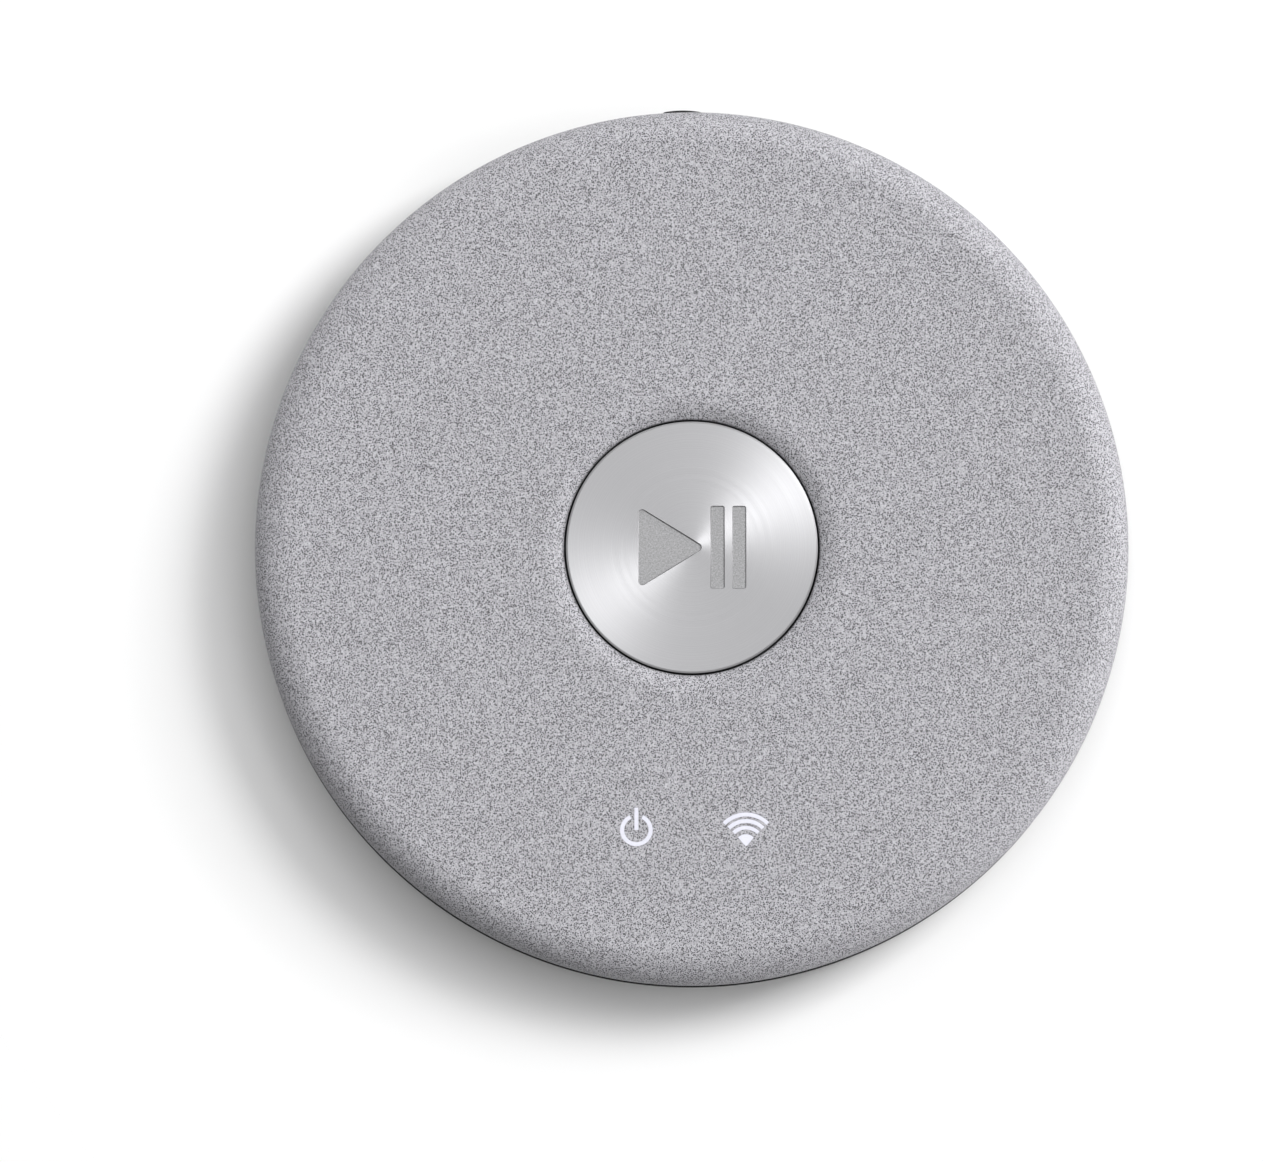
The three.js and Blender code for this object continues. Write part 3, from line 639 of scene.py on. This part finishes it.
shell = lathe("shell", shell_profile(), 240)
for x, y in BOSSES:
    add(shell, lathe("boss", [(0, 5.75), (3.4, 5.75), (3.4, 22.2), (0, 22.2)], 32, at=(x, y, 0)))
for x, y in FRAME_BOSSES:
    add(shell, lathe("boss", [(0, 17.2), (2.2, 17.2), (2.2, 22.2), (0, 22.2)], 24, at=(x, y, 0)))
cut(
    shell,
    merge(
        "pilots",
        *[lathe("p", [(0, 5), (1.35, 5), (1.35, 14), (0, 14)], 16, at=(x, y, 0)) for x, y in BOSSES],
        *[lathe("p", [(0, 16), (1.05, 16), (1.05, 21.5), (0, 21.5)], 16, at=(x, y, 0)) for x, y in FRAME_BOSSES],
    ),
    merge("windows", *power_symbol(UNDER - 1, H + 1), *wifi_symbol(UNDER - 1, H + 1)),
    prism_y("rear_gap", round_rect(-37, 37, -4, 18.8, 1.5, 8), 40, 63),
)
dress(tidy(shell), SHELL, "housing", "shell", "top_cover", angle=30.0)


# ---------------------------------------------------------------- lit symbols
def guide(name, pads, plate, leg, node):
    body = box(name, *plate, 20.9, UNDER - 0.1)
    add(body, box("leg", *leg, 13.4, 21.0), *pads)
    dress(tidy(body), GLOW, "housing", "light_guide", node, angle=35.0)


guide(
    "power_symbol",
    power_symbol(21.6, H - 0.03, 0.04),
    (-10.9, -4.1, -42.3, -34.8),
    (-9.5, -5.5, -40.2, -36.2),
    "power_light_guide",
)
guide(
    "wireless_symbol",
    wifi_symbol(21.6, H - 0.03, 0.04),
    (2.6, 12.4, -42.3, -35.3),
    (5.5, 9.5, -40.6, -36.6),
    "wifi_light_guide",
)


# ---------------------------------------------------------------- play button
def rounded_triangle(d=0.0, r=0.6, n=8):
    """The outline, d inside its true edge."""
    p = [Vector((-7.35, -5.7)), Vector((1.9, 0.0)), Vector((-7.35, 5.7))]
    r -= d
    out = []
    for i, b in enumerate(p):
        a, c = p[(i + 2) % 3], p[(i + 1) % 3]
        u, w = (a - b).normalized(), (c - b).normalized()
        half = math.acos(u.dot(w)) / 2
        m = (u + w).normalized()
        o = b + m * ((r + d) / math.sin(half))
        k0, k1 = b + u * ((r + d) / math.tan(half)) - o, b + w * ((r + d) / math.tan(half)) - o
        s0 = math.atan2(k0.y, k0.x)
        s1 = math.atan2(k1.y, k1.x)
        while s1 < s0:
            s1 += 2 * math.pi
        for k in range(n + 1):
            s = s0 + (s1 - s0) * k / n
            out.append((o.x + r * math.cos(s), o.y + r * math.sin(s)))
    return out


GLYPH, CHAMFER = 0.3, 0.11


def sunk(name, outline):
    """A tool for a recess with a chamfered lip: outline(d) is the edge, d further in."""
    floor_z, lip_z = DISC_TOP - GLYPH, DISC_TOP + CROWN / 2
    bm = bmesh.new()
    rings = []
    for d, z in ((CHAMFER, floor_z), (CHAMFER, lip_z - 1.6 * CHAMFER), (-0.02, lip_z + 0.03), (-0.02, lip_z + 1)):
        rings.append([bm.verts.new((x * MM, y * MM, z * MM)) for x, y in outline(d)])
    n = len(rings[0])
    for a, b in zip(rings, rings[1:]):
        for i in range(n):
            bm.faces.new((a[i], a[(i + 1) % n], b[(i + 1) % n], b[i]))
    bm.faces.new(rings[0])
    bm.faces.new(rings[-1])
    return from_bm(bm, name)


disc_z = DISC_TOP - DISC_T
DISC_EDGE = DISC_TOP - CROWN / 2
disc = lathe(
    "play_disc_face",
    [
        (0, disc_z),
        (DISC_R - 0.1, disc_z),
        (DISC_R, disc_z + 0.1),
        (DISC_R, DISC_EDGE - 0.13),
        (DISC_R - 0.02, DISC_EDGE - 0.09),
        (DISC_R - 0.2, DISC_EDGE - 0.01),
        (DISC_R - 0.22, DISC_EDGE),
        (DISC_R - 0.3, DISC_EDGE + CROWN * 0.018),
        (11.5, DISC_EDGE + CROWN * 0.33),
        (0, DISC_EDGE + CROWN),
    ],
    256,
)
cut(
    disc,
    merge(
        "glyph",
        sunk("t", rounded_triangle),
        sunk("a", lambda d: round_rect(2.5 + d, 4.5 - d, -5.7 + d, 5.7 - d, 0.35 - d, 6)),
        sunk("b", lambda d: round_rect(5.45 + d, 7.45 - d, -5.7 + d, 5.7 - d, 0.35 - d, 6)),
    ),
)
tidy(disc)
disc.data.materials.clear()
disc.data.materials.append(SPUN)
disc.data.materials.append(BLASTED)
for f in disc.data.polygons:
    z = f.center.z / MM
    rr = math.hypot(f.center.x, f.center.y) / MM
    f.material_index = 1 if rr < 11.6 and disc_z + 0.05 < z < DISC_TOP - GLYPH + 0.02 else 0
dress(disc, None, "play_button", "spun_aluminium", "play_disc", angle=28.0)

carrier = lathe(
    "button_carrier_moulding",
    [
        (0, 16.95),
        (2.6, 16.95),
        (3.0, 17.35),
        (3.0, 19.6),
        (19.4, 19.6),
        (19.6, 19.8),
        (19.6, 20.3),
        (19.4, 20.5),
        (17.0, 20.5),
        (17.0, 21.25),
        (16.85, 21.4),
        (0, 21.4),
    ],
    128,
)
dress(carrier, BLACK, "play_button", "black_plastic", "button_carrier")

coil = []
turns, r0 = 2.5, 6.3
for i in range(int(turns * 40) + 1):
    a = 2 * math.pi * i / 40
    t = i / (turns * 40)
    coil.append((r0 * math.cos(a), r0 * math.sin(a), 17.45 + 1.8 * t))
spring = dress(tube("button_coil_spring", coil, 0.22, 10), SPRING, "housing", "spring_steel", "button_spring")
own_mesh(spring)

# ---------------------------------------------------------------- base and foot
base = lathe(
    "base_moulding",
    [
        (0, 0.8),
        (45.55, 0.8),
        (45.7, 0.95),
        (45.7, 1.9),
        (54.3, 1.9),
        (54.3, 0.95),
        (54.45, 0.8),
        (56.4, 0.8),
        (58.8, 0.85),
        (59.3, 0.97),
        (59.65, 1.17),
        (59.88, 1.45),
        (59.98, 1.75),
        (60.0, 2.1),
        (60.0, 4.4),
        (59.96, 4.57),
        (59.85, 4.68),
        (59.7, 4.7),
        (57.4, 4.7),
        (57.4, 6.6),
        (56.2, 6.6),
        (56.2, 3.0),
        (0, 3.0),
    ],
    240,
)
for x, y in BOSSES:
    add(
        base,
        lathe("b", [(0, 2.9), (4.2, 2.9), (4.2, 4.15), (3.4, 4.15), (3.4, 5.6), (0, 5.6)], 32, at=(x, y, 0)),
    )
for x, y in BOARD_SCREWS:
    add(base, lathe("b", [(0, 2.9), (2.7, 2.9), (2.7, 4.3), (0, 4.3)], 28, at=(x, y, 0)))
cut(
    base,
    merge(
        "holes",
        *[
            lathe("h", [(0, 1.5), (2.9, 1.5), (2.9, 3.6), (1.6, 3.6), (1.6, 6), (0, 6)], 32, at=(x, y, 0))
            for x, y in BOSSES
        ],
        *[lathe("h", [(0, 1.7), (1.35, 1.7), (1.35, 5), (0, 5)], 20, at=(x, y, 0)) for x, y in BOARD_SCREWS],
    ),
    box("rear_lip", -38.5, 38.5, 40, 61, 4.75, 8),
)
slots = []
for i in range(16):
    a = math.radians((i + 0.5) * 360 / 16)
    pts = arc(31, 0, 1.1, -90, 90, 10) + arc(19, 0, 1.1, 90, 270, 10)
    pts = [(x * math.cos(a) - y * math.sin(a), x * math.sin(a) + y * math.cos(a)) for x, y in pts]
    slots.append(prism("slot", pts, 0, 4))
cut(base, merge("slots", *slots))
dress(tidy(base), BLACK, "housing", "black_plastic", "base_cover", angle=30.0)

foot_profile = [(46.35, 0.0), (46.05, 0.12), (46.0, 0.3), (46.0, 1.85), (54.0, 1.85), (54.0, 0.3), (53.95, 0.12), (53.65, 0.0)]
x = 53.0
while x > 47.2:  # fine grip grooves round the ring
    foot_profile += [(x, 0.0), (x - 0.16, 0.22), (x - 0.34, 0.22), (x - 0.5, 0.0)]
    x -= 1.3
dress(lathe("foot_ring_rubber", foot_profile, 200), RUBBER, "housing", "foot_rubber", "foot_ring")

# ---------------------------------------------------------------- rear panel
panel = lathe("rear_panel_moulding", [(0, 4.0), (R_TOP - 0.1, 4.0), (R_TOP - 0.1, 20.0), (0, 20.0)], 240)
boolean(
    panel,
    prism_y("p", round_rect(-36.7, 36.7, 5.2, 18.5, 1.2, 6), PANEL_Y - PANEL_T, 62),
    "INTERSECT",
)
px0, px1 = PILLAR_X - PILLAR_HALF, PILLAR_X + PILLAR_HALF
cut(
    panel,
    prism_y("bay", round_rect(-48, px0, BAY0, BAY1, 1.0, 5), PANEL_Y, 62),
    prism_y("bay", round_rect(px1, 48, BAY0, BAY1, 1.0, 5), PANEL_Y, 62),
)
add(panel, box("tab", -30, 30, PANEL_Y - PANEL_T, PANEL_Y - 0.02, 18.3, 20.4))
cut(
    panel,
    prism_y("o", round_rect(RJ_X - 6.2, RJ_X + 6.2, 7.4, 17.0, 0.3, 3), 45, 48.2),
    prism_y("o", round_rect(HDMI_X - 7.8, HDMI_X + 7.8, 5.85, 12.0, 0.3, 3), 45, 48.2),
    lathe("o", [(0, 45), (4.25, 45), (4.25, 48.5), (0, 48.5)], 48, axis="Y", at=(DC_X, 0, 11.4)),
    prism_y("o", round_rect(OPT_X - 5.1, OPT_X + 5.1, 5.9, 16.35, 0.4, 3), 45, 48.2),
    lathe(
        "o",
        [(0, 52.5), (BUTTON_R + 0.2, 52.5), (BUTTON_R + 0.2, 59.45), (BUTTON_R + 0.5, 60.2), (BUTTON_R + 0.5, 62), (0, 62)],
        64,
        axis="Y",
        at=(PILLAR_X, 0, BUTTON_Z),
    ),
    box("o", PILLAR_X - 1.7, PILLAR_X + 1.7, 45, 54, BUTTON_Z - 1.7, BUTTON_Z + 1.7),
)
dress(tidy(panel), BLACK, "housing", "black_plastic", "rear_panel", angle=30.0)

cap_profile = [(0, 54.2), (BUTTON_R, 54.2), (BUTTON_R, BUTTON_APEX - 0.75)]
for i in range(1, 9):
    a = math.radians(90 * i / 8)
    cap_profile.append((BUTTON_R - 0.5 + 0.5 * math.cos(a), BUTTON_APEX - 0.62 + 0.42 * math.sin(a)))
for i in range(1, 6):
    r = (BUTTON_R - 0.5) * (1 - i / 5)
    cap_profile.append((r, BUTTON_APEX - 0.2 * (r / (BUTTON_R - 0.5)) ** 2))
cap = lathe("power_button_face", cap_profile, 72, axis="Y", at=(PILLAR_X, 0, BUTTON_Z))
add(cap, box("stem", PILLAR_X - 1.4, PILLAR_X + 1.4, 46.5, 55, BUTTON_Z - 1.4, BUTTON_Z + 1.4))
dress(tidy(cap), BUTTON, "power_button", "button_black", "power_button_cap", angle=35.0)

# ---------------------------------------------------------------- sockets
T = BOARD_TOP + 0.05
# network jack: folded steel shield, black insert and eight sprung gold wires
shield = prism_y("lan_jack_shield", round_rect(RJ_X - 7.9, RJ_X + 7.9, T, T + 13.3, 0.5, 4), 29.8, 45.8)
cut(
    shield,
    prism_y("o", round_rect(RJ_X - 7.6, RJ_X + 7.6, T + 0.3, T + 13.0, 0.3, 3), 30.1, 45.5),
    merge("o", prism_y("o", round_rect(RJ_X - 6.0, RJ_X + 6.0, 7.65, 16.65, 0.2, 3), 45, 46.5)),
)
dress(tidy(shield), STEEL, "housing", "steel", "lan_jack")
insert = rbox("lan_jack_insert", RJ_X - 7.5, RJ_X + 7.5, 30.2, 45.4, T + 0.4, T + 12.9, 0.2, 2)
cut(
    insert,
    box("c", RJ_X - 5.95, RJ_X + 5.95, 33.8, 46, 9.4, 16.6),
    box("c", RJ_X - 3.2, RJ_X + 3.2, 33.8, 46, 7.7, 9.5),
)
dress(tidy(insert), SOCKET, "housing", "connector_black")
wires = []
for i in range(8):
    x = RJ_X - 3.57 + 1.02 * i
    wires.append(
        tube("w", [(x, 44.6, 16.35), (x, 43.2, 16.3), (x, 41.6, 15.9), (x, 37.6, 13.2), (x, 36.9, 12.9)], 0.22, 8)
    )
dress(merge("lan_jack_contacts", *wires), GOLD, "housing", "steel")
lamps = merge(
    "lan_jack_lamps",
    rbox("l", RJ_X - 5.6, RJ_X - 3.7, 44.2, 45.75, 7.75, 9.1, 0.15, 2),
    rbox("l", RJ_X + 3.7, RJ_X + 5.6, 44.2, 45.75, 7.75, 9.1, 0.15, 2),
)
AMBER = plastic("jack_lamp_lens", (0.75, 0.5, 0.12), 0.2, 3000.0, 0.000002, 0.06)
dress(lamps, AMBER, "housing", "led_white")

# HDMI: folded steel mouth with a black tongue and its contact row
out_pts = [
    (HDMI_X - 5.8, T + 0.1),
    (HDMI_X + 5.8, T + 0.1),
    (HDMI_X + 7.5, T + 1.7),
    (HDMI_X + 7.5, T + 5.7),
    (HDMI_X - 7.5, T + 5.7),
    (HDMI_X - 7.5, T + 1.7),
]
in_pts = [
    (HDMI_X - 5.6, T + 0.45),
    (HDMI_X + 5.6, T + 0.45),
    (HDMI_X + 7.15, T + 1.9),
    (HDMI_X + 7.15, T + 5.35),
    (HDMI_X - 7.15, T + 5.35),
    (HDMI_X - 7.15, T + 1.9),
]
mouth = prism_y("hdmi_jack_shield", out_pts, 36, 47.3)
cut(mouth, prism_y("c", in_pts, 37.5, 48))
dress(tidy(mouth), STEEL, "housing", "steel", "hdmi_jack")
tongue = rbox("hdmi_jack_tongue", HDMI_X - 5.9, HDMI_X + 5.9, 37.6, 46.4, T + 2.5, T + 3.5, 0.15, 2)
dress(tongue, SOCKET, "housing", "connector_black")
pins = []
for i in range(10):
    x = HDMI_X - 4.5 + i
    pins.append(box("p", x - 0.2, x + 0.2, 38.2, 45.6, T + 2.44, T + 2.5 - 0.002))
for i in range(9):
    x = HDMI_X - 4.0 + i
    pins.append(box("p", x - 0.2, x + 0.2, 38.2, 45.6, T + 3.502, T + 3.56))
dress(merge("hdmi_jack_contacts", *pins), GOLD, "housing", "steel")

# power inlet: black barrel and steel pin
barrel = rbox("dc_jack_body", DC_X - 4.2, DC_X + 4.2, 32.4, 45.7, T, T + 10.2, 0.25, 2)
add(barrel, lathe("r", [(0, 45), (3.9, 45), (3.9, 47.1), (3.7, 47.3), (0, 47.3)], 56, axis="Y", at=(DC_X, 0, 11.4)))
cut(
    barrel,
    lathe("r", [(0, 36.5), (2.8, 36.5), (2.8, 46.9), (3.1, 47.4), (3.1, 48), (0, 48)], 56, axis="Y", at=(DC_X, 0, 11.4)),
)
dress(tidy(barrel), SOCKET, "housing", "connector_black", "dc_jack")
pin = lathe(
    "dc_jack_pin",
    [(0, 36.6), (0.98, 36.6), (0.98, 45.5), (0.9, 45.9), (0.6, 46.15), (0, 46.2)],
    28,
    axis="Y",
    at=(DC_X, 0, 11.4),
)
dress(pin, STEEL, "housing", "steel")

# optical jack: black body with a guide rim; the flap in its mouth is on its own body
opt = rbox("optical_jack_body", OPT_X - 4.8, OPT_X + 4.8, 32.6, 47.3, T, T + 10, 0.2, 2)
cut(opt, box("c", OPT_X - 3.9, OPT_X + 3.9, 36, 48, 7.2, 15.0))
dress(tidy(opt), SOCKET, "housing", "connector_black", "optical_jack")
flap = rbox("optical_flap", OPT_X - 3.65, OPT_X + 3.65, 46.1, 46.7, 7.45, 14.75, 0.12, 2)
add(flap, prism_y("f", round_rect(OPT_X - 2.4, OPT_X + 2.4, 8.9, 13.3, 0.5, 4), 46.6, 46.86))
dress(tidy(flap), SOCKET, "optical_shutter", "connector_black", "optical_shutter")

# ---------------------------------------------------------------- carried-over CAD pieces: real finishes
LOOK = {
    "foam_black": FOAM,
    "black_plastic": BLACK,
    "switch_black": SWITCH,
    "circuit_board": BOARD,
    "led_white": PHOSPHOR,
    "socket_nylon": NYLON,
    "ribbon_white": FILM,
    "chip_black": CHIP,
    "thermal_gap_pad": PAD,
    "heat_sink_aluminium": ANODISED,
    "can_aluminium": CAN,
    "steel": STEEL,
    "spring_steel": SPRING,
    "antenna_flex": FLEX,
    "lead_black": COAX,
    "light_guide": GLOW,
    "connector_black": SOCKET,
    "shell": SHELL,
    "foot_rubber": RUBBER,
    "spun_aluminium": SPUN,
    "button_black": BUTTON,
}
slot_of = {s["node"]: s["material_slot"] for s in frame["record"]["subparts"]}
for name, ob in nodes.items():
    mat = LOOK[slot_of[name]]
    if len(ob.material_slots):
        for s in ob.material_slots:
            s.material = mat
    else:
        ob.data.materials.append(mat)

# ---------------------------------------------------------------- floor, light
# pale paper round the part, reaching further to the right than to the front left, where its edge fades out
fm = Mat("floor_paper", color=(0.86, 0.86, 0.86), rough=0.9, spec=0.1)
reach = fm.new("ShaderNodeVectorMath", operation="DISTANCE")
fm.link(fm.coord, reach.inputs[0])
reach.inputs[1].default_value = (0.141, 0.099, 0.0)
fade = fm.new("ShaderNodeMapRange", interpolation_type="SMOOTHSTEP")
fm.link(reach.outputs["Value"], fade.inputs["Value"])
fade.inputs["From Min"].default_value = 0.258
fade.inputs["From Max"].default_value = 0.305
clear = fm.new("ShaderNodeBsdfTransparent")
both = fm.new("ShaderNodeMixShader")
fm.link(fade.outputs["Result"], both.inputs[0])
fm.link(fm.b.outputs[0], both.inputs[1])
fm.link(clear.outputs[0], both.inputs[2])
fm.link(both.outputs[0], next(n for n in fm.nt.nodes if n.type == "OUTPUT_MATERIAL").inputs["Surface"])
sheet = bmesh.new()
sheet.faces.new([sheet.verts.new((x * MM, y * MM, 0.0)) for x, y in ((-500, -500), (500, -500), (500, 500), (-500, 500))])
floor = from_bm(sheet, "floor")
floor.data.materials.append(fm.m)

world = bpy.data.worlds.new("studio")
bpy.context.scene.world = world
world.use_nodes = True
bg = next(n for n in world.node_tree.nodes if n.type == "BACKGROUND")
bg.inputs[0].default_value = (1.0, 1.0, 1.0, 1.0)
bg.inputs[1].default_value = 0.14
plain = world.node_tree.nodes.new("ShaderNodeBackground")  # what is seen past the floor's edge
plain.inputs[0].default_value = (1.0, 1.0, 1.0, 1.0)
plain.inputs[1].default_value = 1.0
path = world.node_tree.nodes.new("ShaderNodeLightPath")
pick = world.node_tree.nodes.new("ShaderNodeMixShader")
out = next(n for n in world.node_tree.nodes if n.type == "OUTPUT_WORLD")
world.node_tree.links.new(path.outputs["Is Camera Ray"], pick.inputs[0])
world.node_tree.links.new(bg.outputs[0], pick.inputs[1])
world.node_tree.links.new(plain.outputs[0], pick.inputs[2])
world.node_tree.links.new(pick.outputs[0], out.inputs["Surface"])


def softbox(name, azimuth, elevation, wide, tall, radiance, distance=2.0, color=(1, 1, 1)):
    """azimuth: the side the light comes from, counter-clockwise from +X seen from above.
    wide and tall are its angular size in degrees, seen from the part."""
    d = bpy.data.lights.new(name, "AREA")
    d.shape = "RECTANGLE"
    d.size = 2 * distance * math.tan(math.radians(wide / 2))
    d.size_y = 2 * distance * math.tan(math.radians(tall / 2))
    d.energy = radiance * math.pi * d.size * d.size_y
    d.color = color
    o = bpy.data.objects.new(name, d)
    bpy.context.scene.collection.objects.link(o)
    a, e = math.radians(azimuth), math.radians(elevation)
    v = Vector((math.cos(a) * math.cos(e), math.sin(a) * math.cos(e), math.sin(e)))
    right = Vector((-math.sin(a), math.cos(a), 0.0))
    top = v.cross(right)
    o.location = v * distance
    o.rotation_mode = "QUATERNION"
    o.rotation_quaternion = Matrix((right, top, v)).transposed().to_quaternion()
    o.visible_camera = False
    return o


LIGHTS = [
    ("key_upper", 40, 74, 16, 12, 6.35),
    ("key_middle", 34, 62, 16, 12, 22.98),
    ("key_lower", 31, 50, 14, 12, 12.62),
    ("right_strip", -5, 8, 30, 16, 12.97),
    ("right_rear_strip", 25, 8, 30, 16, 2.71),
    ("rear_strip", 100, 15, 40, 30, 2.53),
    ("rear_left_strip", 140, 15, 40, 30, 1.72),
    ("overhead_rear", 115, 75, 30, 30, 2.0),
    ("overhead_front", 300, 75, 30, 30, 1.8),
]
for spec in LIGHTS:
    softbox(*spec)

bpy.context.scene.view_settings.view_transform = "Standard"
bpy.context.scene.view_settings.look = "None"
